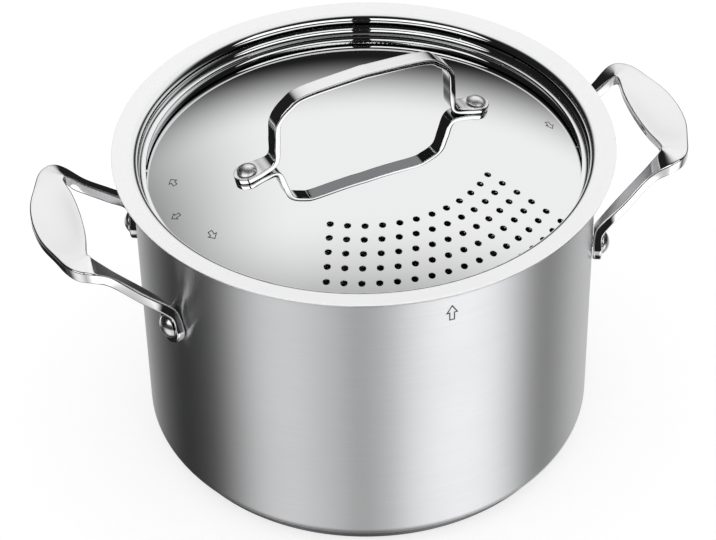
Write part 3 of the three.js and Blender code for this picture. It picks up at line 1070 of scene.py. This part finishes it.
@dataclass
class StrainerLid:
    """One pressing: a dome that is part of a ball, a gutter, a skirt and a flange."""

    pot: PotBody
    sheet: float = 0.9
    overhang: float = 0.45
    skirt_gap: float = 1.4
    skirt_height: float = 2.7
    flange_bend: float = 2.3
    flange_steps: int = 12
    edge_steps: int = 10
    gutter_bend: float = 3.0
    gutter_turn: float = radians(-60)
    gutter_steps: int = 10
    gutter_rings: int = 5
    ball: float = 353.4
    hole: float = 3.2
    first_row: float = 63.7
    row_step: float = 8.0
    pitch: float = 8.03
    first_row_holes: int = 12
    rows: int = 6
    rolled: float = 0.2
    roll_share: float = 0.9
    roll_turns: tuple[int, ...] = (25, 45, 65, 90)
    hole_sides: int = 24
    hole_share: float = 0.96
    mesh_pitch: float = 4.0
    mesh_clear: float = 0.35
    meet_clear: float = 0.6
    near: float = 2e-3
    exactness: float = 1e-6

    @property
    def skirt_outside(self) -> float:
        """Radius of the skirt's outside."""
        return self.pot.inside - self.skirt_gap

    def flange_under(self, r: float) -> float:
        """Height of the flange's underside at a radius."""
        return self.pot.lip_top(r) + self.pot.seat / cos(LIP_TILT)

    @property
    def flange_centre(self) -> Pair:
        """Centre of the bend from skirt to flange."""
        return bend_centre(self.flange_bend, self.skirt_outside, self.flange_under)

    @property
    def edge_centre(self) -> Pair:
        """Centre of the rounding at the flange's edge."""
        r = self.pot.lip_radius + self.overhang - self.sheet / 2
        return r, self.flange_under(r) + self.sheet / 2 / cos(LIP_TILT)

    @property
    def gutter_centre(self) -> Pair:
        """Centre of the bend from skirt to dome."""
        return (self.skirt_outside - self.sheet - self.gutter_bend,
                self.flange_centre[1] - self.skirt_height)

    @property
    def ball_centre(self) -> float:
        """Height of the middle of the dome's ball."""
        r, z = self.gutter_centre
        return z - sqrt((self.ball + self.gutter_bend) ** 2 - r ** 2)

    @property
    def meet(self) -> float:
        """Angle, about the ball's centre, where the dome runs into the gutter."""
        r, z = self.gutter_centre
        return atan2(z - self.ball_centre, r)

    def height_at(self, r: float) -> float:
        """Height of the dome's top at a radius."""
        return self.ball_centre + sqrt(self.ball ** 2 - r ** 2)

    def on_dome(self, radius: float, angle: float, lift: float = 0.0) -> Matrix:
        """A place square to the dome, at a radius, an angle and a distance over it."""
        tilt = Matrix.Rotation(asin(radius / self.ball), 4, "Y")
        return (turned(angle) @ Matrix.Translation((0, 0, self.ball_centre)) @ tilt
                @ Matrix.Translation((0, 0, self.ball + lift)))

    def hole_places(self) -> list[Pair]:
        """The drain holes, in rows that gain a hole each.

        Returns:
            The radius and the angle of every one.
        """
        places = []
        for row in range(self.rows):
            radius = self.first_row + row * self.row_step
            holes = self.first_row_holes + row
            for i in range(holes):
                turn = (i - (holes - 1) / 2) * self.pitch / radius
                places.append((radius, turn - QUARTER_TURN))
        return places

    def face_at(self, r: float, depth: float) -> tuple[float, float, float]:
        """The dome's or the gutter's face at a radius.

        Args:
            r: distance from the axis.
            depth: 0 for the top face, the sheet's thickness for the underside.

        Returns:
            Its height, and its normal's parts along the radius and up.
        """
        ball = self.ball - depth
        if r <= ball * cos(self.meet):
            rise = sqrt(ball ** 2 - r ** 2)
            return self.ball_centre + rise, r / ball, rise / ball
        centre_r, centre_z = self.gutter_centre
        bend = self.gutter_bend + depth
        drop = sqrt(max(bend ** 2 - (r - centre_r) ** 2, 0.0))
        return centre_z - drop, (centre_r - r) / bend, drop / bend

    def spot(self, p: Vector, depth: float = 0.0) -> Vector:
        """The point of the top face, or of the underside, over or under a place."""
        return Vector((p.x, p.y, self.face_at(hypot(p.x, p.y), depth)[0]))

    def hole_rings(self, draft: Draft) -> tuple[list[list[int]], list[list[int]]]:
        """Makes the walls of the drain holes, with a rolled upper edge.

        Args:
            draft: what they are added to.

        Returns:
            The rings of points on the top and on the underside.
        """
        r, roll = self.hole / 2, self.rolled
        steps = [(r + roll, 0.0)] + [
            (r + roll * (1 - sin(a)), self.roll_share * roll * (1 - cos(a)))
            for a in map(radians, self.roll_turns)
        ]
        tops, bottoms = [], []
        for radius, angle in self.hole_places():
            place = self.on_dome(radius, angle)
            down = place.to_3x3() @ DOWN
            rings = [
                [draft.point(*(self.spot(place @ polar(offset, a)) + down * depth))
                 for a in around(self.hole_sides)]
                for offset, depth in steps
            ]
            rings.append([
                draft.point(*self.spot(place @ polar(r, a, -self.sheet), self.sheet))
                for a in around(self.hole_sides)
            ])
            draft.join(rings)
            tops.append(rings[0])
            bottoms.append(rings[-1])
        return tops, bottoms

    def lattice(self, reach: float, depth: float, middles: list[Vector]) -> list[Vector]:
        """Places between the edge and the holes: an even lattice, and rings in the gutter.

        Args:
            reach: the radius of the sheet's edge.
            depth: how far the face lies under the top.
            middles: the holes' middles.

        Returns:
            The places.
        """
        pitch = self.mesh_pitch
        rise = pitch * sqrt(3) / 2
        gutter = (self.ball - depth) * cos(self.meet)
        rows, columns = int(gutter / rise), int(gutter / pitch) + 1
        spots = [
            Vector(((step + (row % 2) / 2) * pitch, row * rise))
            for row in range(-rows, rows + 1) for step in range(-columns, columns + 1)
        ]
        spots = [s for s in spots if s.length < gutter - pitch / 2]
        for ring in range(self.gutter_rings):
            r = gutter + (reach - gutter) * ring / self.gutter_rings
            turns = (FULL_TURN * (k + ring % 2 / 2) / AROUND for k in range(AROUND))
            spots += [polar(r, a).xy for a in turns]
        clear = self.hole / 2 + self.rolled + self.mesh_clear
        return [s for s in spots if all((s - m).length > clear for m in middles)]

    def sheet_face(
        self, draft: Draft, depth: float, edge: list[int], rims: list[list[int]]
    ) -> None:
        """Covers the dome and the gutter's bottom with faces round the open holes.

        Args:
            draft: what they are added to.
            depth: how far the face lies under the top.
            edge: the points of its outer edge.
            rims: the points round each hole.
        """

        def flat(number: int) -> Vector:
            """A point of the draft, seen from above."""
            return Vector(draft.points[number][:2])

        middles = [sum(map(flat, rim), Vector((0, 0))) / len(rim) for rim in rims]
        numbers, bounds = [], []
        for loop in (edge, *rims):
            start, count = len(numbers), len(loop)
            numbers += loop
            bounds += [(start + k, start + (k + 1) % count) for k in range(count)]
        reach = hypot(*draft.points[edge[0]][:2])
        for s in self.lattice(reach, depth, middles):
            numbers.append(draft.point(*self.spot(s, depth)))
        spots = [flat(i) for i in numbers]
        _, _, faces, origins, _, _ = delaunay_2d_cdt(
            spots, bounds, [], 0, self.exactness, True)
        hole = min((spots[len(edge)] - m).length for m in middles) * self.hole_share
        for face in faces:
            corners = [origins[i][0] for i in face]
            middle = sum((spots[i] for i in corners), Vector((0, 0))) / len(face)
            if all((middle - m).length > hole for m in middles):
                draft.face(*(numbers[i] for i in corners))

    def exact_normal(self, spot: Vector) -> Vector | None:
        """The normal at a point that lies on the dome or on one of the bends.

        Args:
            spot: the point.

        Returns:
            The normal, or nothing for any other point.
        """
        r = hypot(spot.x, spot.y)
        if not r:
            return None
        along = Vector((spot.x / r, spot.y / r, 0.0))
        gutter, flange = self.gutter_centre, self.flange_centre
        if r < gutter[0] + self.gutter_bend / 2 + self.meet_clear:
            for depth in (0.0, self.sheet):
                height, out, up = self.face_at(r, depth)
                if abs(spot.z - height) < self.near:
                    return along * out + Vector((0.0, 0.0, up))
        for centre, radius in (
            (gutter, self.gutter_bend), (gutter, self.gutter_bend + self.sheet),
            (flange, self.flange_bend), (flange, self.flange_bend + self.sheet),
            (self.edge_centre, self.sheet / 2),
        ):
            out, up = r - centre[0], spot.z - centre[1]
            if r > gutter[0] and abs(hypot(out, up) - radius) < self.near:
                return (along * out + Vector((0.0, 0.0, up))) / radius
        return None

    def build(self) -> None:
        """Makes the lid."""
        edge, gutter, flange = self.edge_centre, self.gutter_centre, self.flange_centre
        start, bends = self.gutter_turn, self.flange_steps
        draft = Draft()
        rings = draft.lathe([
            *arc(gutter, self.gutter_bend, start, 0.0, self.gutter_steps),
            *arc(flange, self.flange_bend + self.sheet, pi, BEND_TURN, bends),
            *arc(edge, self.sheet / 2, BEND_TURN, LIP_TILT - QUARTER_TURN, self.edge_steps),
            *arc(flange, self.flange_bend, BEND_TURN, pi, bends),
            *arc(gutter, self.gutter_bend + self.sheet, 0.0, start, self.gutter_steps),
        ], AROUND)
        tops, bottoms = self.hole_rings(draft)
        self.sheet_face(draft, 0.0, rings[0], tops)
        self.sheet_face(draft, self.sheet, rings[-1], bottoms)
        draft.commit("strainer_lid", Finish.LID, Body.LID, "mirror_steel", "lid",
                     place=turned(LID_TURN), curve=self.exact_normal)


@dataclass
class LidHandle:
    """A bent strap with two feet riveted to the dome."""

    lid: StrainerLid
    rivet: Rivet = Rivet(4.6, 9.6, 2.7, 8.4, 1.4)
    rivet_radius: float = 59.8
    rivet_gaps: int = 3
    foot_end: float = 6.6
    foot_width: float = 12.4
    strap_width: float = 8.4
    thickness: float = 3.0
    leg_inset: float = 13.0
    knee_rise: float = 6.0
    leg_lean: float = 2.0
    leg_height: float = 21.0
    shoulder_inset: float = 6.0
    shoulder_height: float = 7.0
    arch_height: float = 6.0
    arch_share: float = 0.67
    edge: float = 0.55
    span_steps: int = 10

    def stations(self) -> list[Station]:
        """The whole strap.

        Returns:
            Its sections, from one foot's end to the other's.
        """
        lid, radius = self.lid, self.rivet_radius
        ball = lid.ball + lid.pot.seat + self.thickness / 2
        tilt = asin(radius / lid.ball)
        up = Vector((sin(tilt), 0, cos(tilt)))
        inward = Vector((-cos(tilt), 0, sin(tilt)))

        def strap(centre: Vector, normal: Vector, width: float) -> Station:
            """A section across the strap."""
            return Station(centre, ACROSS, normal.normalized(), width, self.thickness)

        def foot(inset: float, width: float) -> Station:
            """A section of the foot, on the dome."""
            a = asin((radius - inset) / lid.ball)
            return strap(Vector((ball * sin(a), 0, lid.ball_centre + ball * cos(a))),
                         up, width)

        def leg(inset: float, rise: float, normal: Vector) -> Station:
            """A section inward of the rivet and over it."""
            centre = Vector((radius - inset, 0, lid.height_at(radius) + rise))
            return strap(centre, normal, self.strap_width)

        knee = self.leg_inset + self.leg_lean
        leg_top = self.knee_rise + self.leg_height
        shoulder = leg_top + self.shoulder_height
        half = smooth_stations([
            foot(0.0, self.foot_width),
            foot(self.foot_end, (self.foot_width + self.strap_width) / 2),
            leg(self.leg_inset, self.knee_rise, OUT + up),
            leg((self.leg_inset + knee) / 2, (self.knee_rise + leg_top) / 2, OUT),
            leg(knee, leg_top, OUT),
            leg(knee + self.shoulder_inset, shoulder, OUT + UP),
            leg(radius / 2, shoulder + self.arch_height * self.arch_share, UP),
            leg(radius, shoulder + self.arch_height, UP),
        ], self.span_steps)
        return whole_bar(half, inward, self.foot_end, 0)

    def build(self) -> None:
        """Makes the strap and its two rivets."""
        lid = self.lid
        middle = Vector((0, 0, lid.ball_centre))
        least = lid.ball + lid.pot.seat

        def seated(p: Vector) -> Vector:
            """Keeps a point of a foot on the dome."""
            out = p - middle
            return middle + out.normalized() * least if out.length < least else p

        bar = Draft()
        bar.loft([[seated(p) for p in s.section(self.edge)] for s in self.stations()])
        bar.commit("lid_strap", Finish.CAST, Body.LID, "cast_steel", "lid_handle",
                   place=turned(LID_TURN))
        gaps = self.rivet_gaps * lid.pot.seat
        rivet = self.rivet.draft(lid.sheet + gaps + self.thickness)
        for side in Side:
            seat = lid.on_dome(self.rivet_radius, side.value, -lid.sheet - lid.pot.seat)
            rivet.commit(f"lid_strap_rivet_{side.word}", Finish.LID_RIVET, Body.LID,
                         "rivet_steel", f"lid_handle_rivet_{side.word}",
                         place=turned(LID_TURN) @ seat)


@dataclass
class Lock:
    """Two lugs under the lid's gutter and two catches inside the pot's wall."""

    lid: StrainerLid
    lug_length: float = 16.0
    lug_thickness: float = 1.2
    lug_inset: float = 1.5
    catch_length: float = 38.0
    catch_height: float = 1.7
    clearance: float = 0.5
    catch_turn: float = radians(38)
    edge: float = 0.22
    steps: int = 24
    section_steps: tuple[int, int] = (4, 4)

    def bar(self, inner: float, outer: float, bottom: float, height: float,
            length: float) -> Draft:
        """A curved bar with rounded edges.

        Args:
            inner: its inner radius.
            outer: its outer radius.
            bottom: the height of its underside.
            height: how tall it is.
            length: its length along its middle line.

        Returns:
            The draft.
        """
        half = length / (inner + outer)
        middle = Vector((0, 0, bottom + height / 2))
        sections = []
        for i in range(self.steps + 1):
            out = polar(1.0, half * (2 * i / self.steps - 1))
            station = Station(out * (inner + outer) / 2 + middle, out, UP,
                              outer - inner, height)
            sections.append(station.section(self.edge, *self.section_steps))
        draft = Draft()
        draft.loft(sections)
        return draft

    def build(self) -> None:
        """Makes the lugs and the catches."""
        lid, pot = self.lid, self.lid.pot
        gutter = lid.gutter_centre
        top = gutter[1] - lid.gutter_bend - lid.sheet - pot.seat
        lug = self.bar(gutter[0] - self.lug_inset, pot.inside - self.clearance,
                       top - self.lug_thickness, self.lug_thickness, self.lug_length)
        catch = self.bar(lid.skirt_outside + pot.seat, pot.inside - pot.seat,
                         top + self.clearance, self.catch_height, self.catch_length)
        for side in Side:
            lug.commit(f"lock_lug_{side.word}", Finish.INNER, Body.LID, "satin_steel",
                       f"lid_lock_lug_{side.word}", place=turned(side.value + LID_TURN))
            catch.commit(f"lock_catch_{side.word}", Finish.INNER, Body.POT, "satin_steel",
                         f"pot_lock_catch_{side.word}",
                         place=turned(side.value + self.catch_turn))


# --- Marks ---


@dataclass
class ArrowMarks:
    """Plain outlined arrows, etched on the lid and the wall."""

    lid: StrainerLid
    length: float = 5.4
    width: float = 4.2
    stem: float = 1.9
    pointer_size: float = 0.8
    pointer_share: float = 1.3
    neck_share: float = 0.5
    stroke: float = 0.42
    depth: float = 0.03
    side_steps: int = 6
    pointer_radius: float = 98.0
    turn_radius: float = 92.2
    turn_spread: float = radians(14.1)
    set_turn: float = radians(1.2)
    lid_lift: float = 0.01
    wall_turn: float = radians(-85.1)
    wall_height: float = 142.0
    wall_size: float = 1.5
    wall_share: float = 0.8
    wall_stroke: float = 0.6
    wall_lift: float = 0.02

    def outline(self, grow: float, size: float, share: float) -> list[Vector]:
        """An arrow that points along +X about the origin.

        Args:
            grow: how far the outline is moved outward.
            size: how many times the plain size it has.
            share: how wide it is, as a share of the plain width.

        Returns:
            Its seven corners.
        """
        tip, half, stem = self.length / 2, self.width / 2 * share, self.stem / 2 * share
        neck = tip - self.length * self.neck_share
        corners = [
            Vector(corner) * size for corner in (
                (tip, 0), (neck, half), (neck, stem), (-tip, stem),
                (-tip, -stem), (neck, -stem), (neck, -half),
            )
        ]
        moved = []
        for i, corner in enumerate(corners):
            before = (corner - corners[i - 1]).normalized()
            after = (corners[(i + 1) % len(corners)] - corner).normalized()
            out = [Vector((v.y, -v.x)) for v in (before, after)]
            moved.append(corner + (out[0] + out[1]) * grow / (1 + out[0].dot(out[1])))
        return moved

    def trace(
        self, draft: Draft, place: Placing, size: float, share: float, stroke: float
    ) -> None:
        """Adds an arrow's outline as a thin inlay.

        Args:
            draft: what it is added to.
            place: takes a place in the arrow's plane and a height over the metal to
                the frame.
            size: how many times the plain size it has.
            share: how wide it is, as a share of the plain width.
            stroke: how wide its line is.
        """
        loops = []
        for grow, height in ((stroke / 2, 0.0), (stroke / 2, self.depth),
                             (-stroke / 2, self.depth), (-stroke / 2, 0.0)):
            corners = self.outline(grow, size, share)
            loop = []
            for (x, y), (nx, ny) in zip(corners, corners[1:] + corners[:1]):
                for k in range(self.side_steps):
                    along = (x + (nx - x) * k / self.side_steps,
                             y + (ny - y) * k / self.side_steps)
                    loop.append(draft.point(*place(*along, height)))
            loops.append(loop)
        draft.join([*loops, loops[0]])

    def on_lid(self, spot: Matrix) -> Placing:
        """Where an arrow's points lie on the dome.

        Args:
            spot: the arrow's place and heading.

        Returns:
            What takes them there.
        """
        middle = Vector((0, 0, self.lid.ball_centre))

        def place(x: float, y: float, height: float) -> Vector:
            """A point over the dome."""
            out = spot @ Vector((x, y, 0)) - middle
            return middle + out.normalized() * (self.lid.ball + self.lid_lift + height)

        return place

    def on_wall(self, x: float, y: float, height: float) -> Vector:
        """A point of an arrow on the wall."""
        wall = self.lid.pot.outside
        return polar(wall + self.wall_lift + height, -y / wall, self.wall_height + x)

    def build(self) -> None:
        """Makes the lid's four arrows and the wall's one."""
        spread, left = self.turn_spread, pi + self.set_turn
        marks, wall = Draft(), Draft()
        for radius, angle, heading, size, share in (
            (self.pointer_radius, left, 0.0, self.pointer_size, self.pointer_share),
            (self.turn_radius, left + spread, QUARTER_TURN - spread, 1.0, 1.0),
            (self.turn_radius, left - spread, spread - QUARTER_TURN, 1.0, 1.0),
            (self.turn_radius, self.set_turn - spread, spread - QUARTER_TURN, 1.0, 1.0),
        ):
            place = self.on_lid(self.lid.on_dome(radius, angle) @ turned(heading))
            self.trace(marks, place, size, share, self.stroke)
        marks.commit("lid_arrows", Finish.MARK, Body.LID, "mirror_steel",
                     place=turned(LID_TURN))
        self.trace(wall, self.on_wall, self.wall_size, self.wall_share, self.wall_stroke)
        wall.commit("wall_arrow", Finish.MARK, Body.POT, "satin_steel",
                    place=turned(self.wall_turn))


# --- The studio ---

LOOK = radians(-15.3)
WHITE = (1, 1, 1, 1)


@dataclass(frozen=True)
class Strip:
    """A soft upright light beside the table, seen only in reflections."""

    azimuth: float
    core: float
    reach: float
    level: float
    foot: float = -2.0
    foot_soft: float = 0.1

    def glow(self, x: Shade, y: Shade, z: Shade) -> Shade:
        """The light that comes from a direction.

        Args:
            x: the X part of the direction's unit vector in the level plane.
            y: its Y part.
            z: the direction's own part upward.

        Returns:
            The strip's light there.
        """
        turn = radians(self.azimuth)
        near = x * cos(turn) + y * sin(turn)
        edge = cos(radians(self.reach)), cos(radians(self.core))
        return near.step(*edge) * z.step(self.foot, self.foot + self.foot_soft) * self.level


@dataclass
class Studio:
    """A white table and a bright tent over it.

    Levels run along a direction's part upward, to the camera's right or away from it.
    """

    strips: tuple[Strip, ...] = (
        Strip(-60, 1, 54, 1.38),
        Strip(-140, 4, 50, 0.90),
        Strip(-104, 10, 41, -0.19),
        Strip(60, 7, 76, 0.68),
        Strip(115, 10, 45, -0.20),
        Strip(108, 10, 50, 0.80, -0.60),
    )
    table_level: float = 0.06
    table_edge: Pair = (-0.36, -0.16)
    table_shade: Pair = (0.82, 0.97)
    tent_level: float = 1.10
    tent_foot: Pair = (0.17, 0.52)
    tent_left: Pair = (-0.64, -0.15)
    tent_front: Pair = (0.0, 0.56)
    dark: float = 0.015
    box_level: float = 1.6
    box_foot: Pair = (0.34, 0.42)
    box_top: Pair = (0.74, 0.82)
    box_reach: Pair = (67.0, 65.5)
    camera_block: Pair = (5.2, 4.6)
    plain: float = 0.95
    least_level: float = 0.0001
    floor_reach: float = 3.0
    floor_sides: int = 64
    floor_drop: float = 0.0004
    floor_glow: float = 0.70
    floor_greys: Pair = (0.36, 0.38)
    floor_grain: Grain = Grain(300.0, 2.0)

    def light(self, graph: Graph) -> Shade:
        """The light that polished metal sees: strips, a table, a tent and a box.

        Args:
            graph: the world's graph.

        Returns:
            The light from each direction.
        """
        x, y, z = graph.parts("ShaderNodeTexCoord", "Generated")
        level = ((x * x + y * y) ** 0.5).larger(self.least_level)
        flat_x, flat_y = x / level, y / level
        right = x * cos(LOOK) + y * sin(LOOK)
        back = y * cos(LOOK) - x * sin(LOOK)
        low = self.table_level
        for strip in self.strips:
            low = strip.glow(flat_x, flat_y, z) + low
        low = (low.larger(0.0) * (1 - z.step(*self.table_edge))
               * (1 - (0 - z).step(*self.table_shade)))
        tent = (z.step(*self.tent_foot) * right.step(*self.tent_left)
                * back.step(*self.tent_front) * self.tent_level)
        toward = (0 - back) / level
        reach, block = (
            tuple(cos(radians(a)) for a in pair)
            for pair in (self.box_reach, self.camera_block)
        )
        box = (z.step(*self.box_foot) * (1 - z.step(*self.box_top))
               * toward.step(*reach) * (1 - toward.step(*block)) * self.box_level)
        return low + tent + box + self.dark

    def world(self) -> None:
        """White to the camera, a studio to metal, plain light to the rest."""
        world = bpy.data.worlds.new("studio")
        bpy.context.scene.world = world
        world.use_nodes = True
        world.cycles.sampling_method = "NONE"
        graph = Graph(world.node_tree)
        light = self.light(graph)
        camera, glossy, through = graph.rays(
            "Is Camera Ray", "Is Glossy Ray", "Is Transmission Ray")
        shiny = glossy.larger(through)
        strength = camera + (1 - camera) * (light * shiny + (1 - shiny) * self.plain)
        glow = graph.node("ShaderNodeBackground",
                          inputs={"Color": WHITE, "Strength": strength})
        graph.end("ShaderNodeOutputWorld", glow)

    def floor(self) -> None:
        """A white table that keeps a soft shadow, open to metal's reflections."""
        material, graph = new_material("white_table")
        glossy, through = graph.rays("Is Glossy Ray", "Is Transmission Ray")
        greys = [(grey, grey, grey) for grey in self.floor_greys]
        cloth = graph.tint(graph.grain(self.floor_grain), *greys)
        diffuse = graph.node("ShaderNodeBsdfDiffuse", inputs={"Color": cloth})
        glow = graph.node("ShaderNodeEmission",
                          inputs={"Color": WHITE, "Strength": self.floor_glow})
        both = graph.node("ShaderNodeAddShader",
                          inputs={0: diffuse.outputs[0], 1: glow.outputs[0]})
        clear = graph.node("ShaderNodeBsdfTransparent").outputs[0]
        mix = graph.node("ShaderNodeMixShader", inputs={
            0: glossy.larger(through), 1: both.outputs[0], 2: clear})
        graph.end("ShaderNodeOutputMaterial", mix)
        mesh = bpy.data.meshes.new("table")
        work = bmesh.new()
        bmesh.ops.create_circle(work, cap_ends=True, segments=self.floor_sides,
                                radius=self.floor_reach)
        bmesh.ops.translate(work, verts=work.verts, vec=(0, 0, -self.floor_drop))
        work.to_mesh(mesh)
        work.free()
        mesh.materials.append(material)
        table = bpy.data.objects.new("table", mesh)
        bpy.context.scene.collection.objects.link(table)

    def build(self) -> None:
        """Sets up the light and the table."""
        bpy.context.scene.view_settings.view_transform = "Standard"
        self.world()
        self.floor()
        log.info("studio ready")


@dataclass
class PhotoCamera:
    """The camera, where the photograph was taken from. Its place is in metres."""

    place: tuple[float, float, float] = (-0.24905, -0.91038, 0.86245)
    pitch: float = radians(39.60)
    yaw: float = radians(-0.235)
    roll: float = radians(-1.216)
    sensor: float = 36.0
    lens: float = 124.27
    clip_end: float = 20.0

    def build(self) -> None:
        """Makes the camera and looks through it."""
        level = cos(self.pitch)
        ahead = Vector((sin(self.yaw) * level, cos(self.yaw) * level, -sin(self.pitch)))
        right = ahead.cross(UP).normalized()
        up = right.cross(ahead)
        rolled = (right * cos(self.roll) + up * sin(self.roll),
                  up * cos(self.roll) - right * sin(self.roll), -ahead)
        turn = Matrix.Rotation(LOOK, 3, "Z")
        data = bpy.data.cameras.new("photo_camera")
        data.sensor_fit = "HORIZONTAL"
        data.sensor_width = self.sensor
        data.lens = self.lens
        data.clip_end = self.clip_end
        camera = bpy.data.objects.new("photo_camera", data)
        pose = Matrix([turn @ axis for axis in rolled]).transposed().to_4x4()
        pose.translation = self.place
        camera.matrix_world = pose
        bpy.context.scene.collection.objects.link(camera)
        bpy.context.scene.camera = camera
        log.info("camera ready")


def main() -> None:
    """Builds the pot, its lid and the studio."""
    pot = PotBody()
    lid = StrainerLid(pot)
    for part in (pot, SideHandles(pot), lid, LidHandle(lid), Lock(lid), ArrowMarks(lid),
                 Studio(), PhotoCamera()):
        part.build()


if __name__ == "__main__":
    main()
